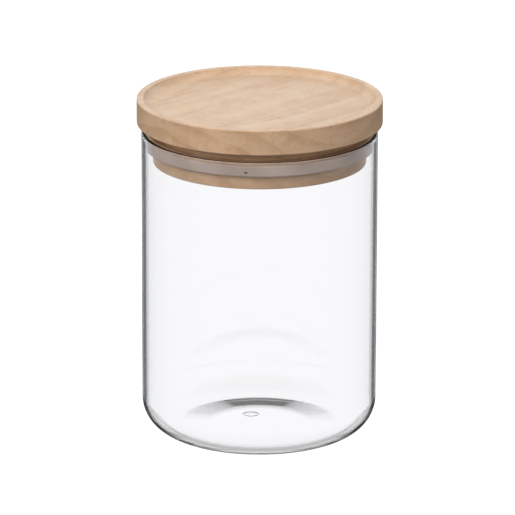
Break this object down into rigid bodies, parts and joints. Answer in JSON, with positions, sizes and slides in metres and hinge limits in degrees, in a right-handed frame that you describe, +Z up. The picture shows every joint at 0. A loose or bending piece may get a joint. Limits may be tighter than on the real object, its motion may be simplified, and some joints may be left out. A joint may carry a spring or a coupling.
{
  "type": "lidded glass storage canister",
  "caption": "Straight-sided clear glass storage jar with a turned wooden push-in lid, sealed in the mouth by a silicone ring and dished on top for stacking.",
  "frame": {"origin": "centre of the jar's base, on the surface that the jar stands on", "axes": "+Z up along the jar's axis, through the middle of the lid; the object is turned about Z, so +X and +Y are any two directions square to it"},
  "size_m": [0.104, 0.104, 0.1462],
  "materials": {
    "clear_glass": "clear, polished, colourless",
    "silicone": "translucent, matte",
    "light_wood": "sanded, unvarnished, fine grain"
  },
  "bodies": {
    "jar": {"glass_jar": "clear_glass"},
    "seal": {"seal_ring": "silicone"},
    "lid": {"wooden_lid": "light_wood"}
  },
  "joints": [
    {"name": "lid_lift", "type": "slide", "parent": "jar", "child": "seal", "axis": [0, 0, 1], "range_m": [-0.0035, 0.06]},
    {"name": "lid_turn", "type": "hinge", "parent": "seal", "child": "lid", "pos_m": [0, 0, 0.13175], "axis": [0, 0, 1], "continuous": true}
  ]
}
